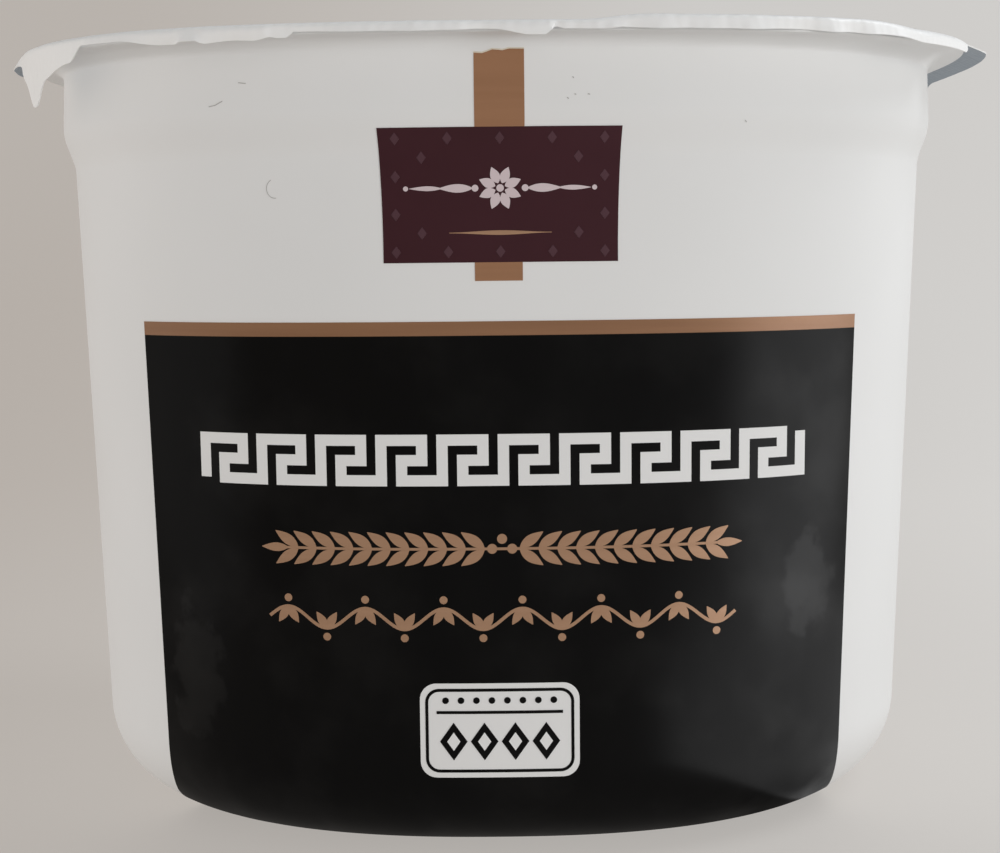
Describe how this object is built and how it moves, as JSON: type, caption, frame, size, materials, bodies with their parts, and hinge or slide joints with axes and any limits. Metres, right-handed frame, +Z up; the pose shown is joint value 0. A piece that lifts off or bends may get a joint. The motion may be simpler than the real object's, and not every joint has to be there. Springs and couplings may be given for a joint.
{
  "type": "sealed pot of burrata",
  "caption": "Shut squarish plastic pot of burrata: tapered wall, stepped collar, flange with a folded heat-sealed foil lid, printed colour fields in front. Stands on its flat base.",
  "frame": {"origin": "middle of the flat base, on the surface that the pot stands on", "axes": "+Z up along the pot's axis, -Y out of the printed front, +X to the right of someone who looks at the print"},
  "size_m": [0.0999, 0.0985, 0.0755],
  "materials": {
    "white_plastic": "white moulded polypropylene with a soft satin gloss",
    "white_foil": "thin lidding foil, white lacquer outside and bare grey metal inside",
    "black_ink": "glossy near-black print on plastic",
    "gold_ink": "satin brown-gold print on plastic",
    "wine_ink": "satin dark wine-red print on plastic"
  },
  "bodies": {
    "root": {"pot": "white_plastic", "lid_foil": "white_foil", "print_panel": "black_ink", "print_band": "gold_ink", "print_ribbon_low": "gold_ink", "print_badge": "wine_ink", "print_ribbon_high": "gold_ink"}
  },
  "joints": []
}
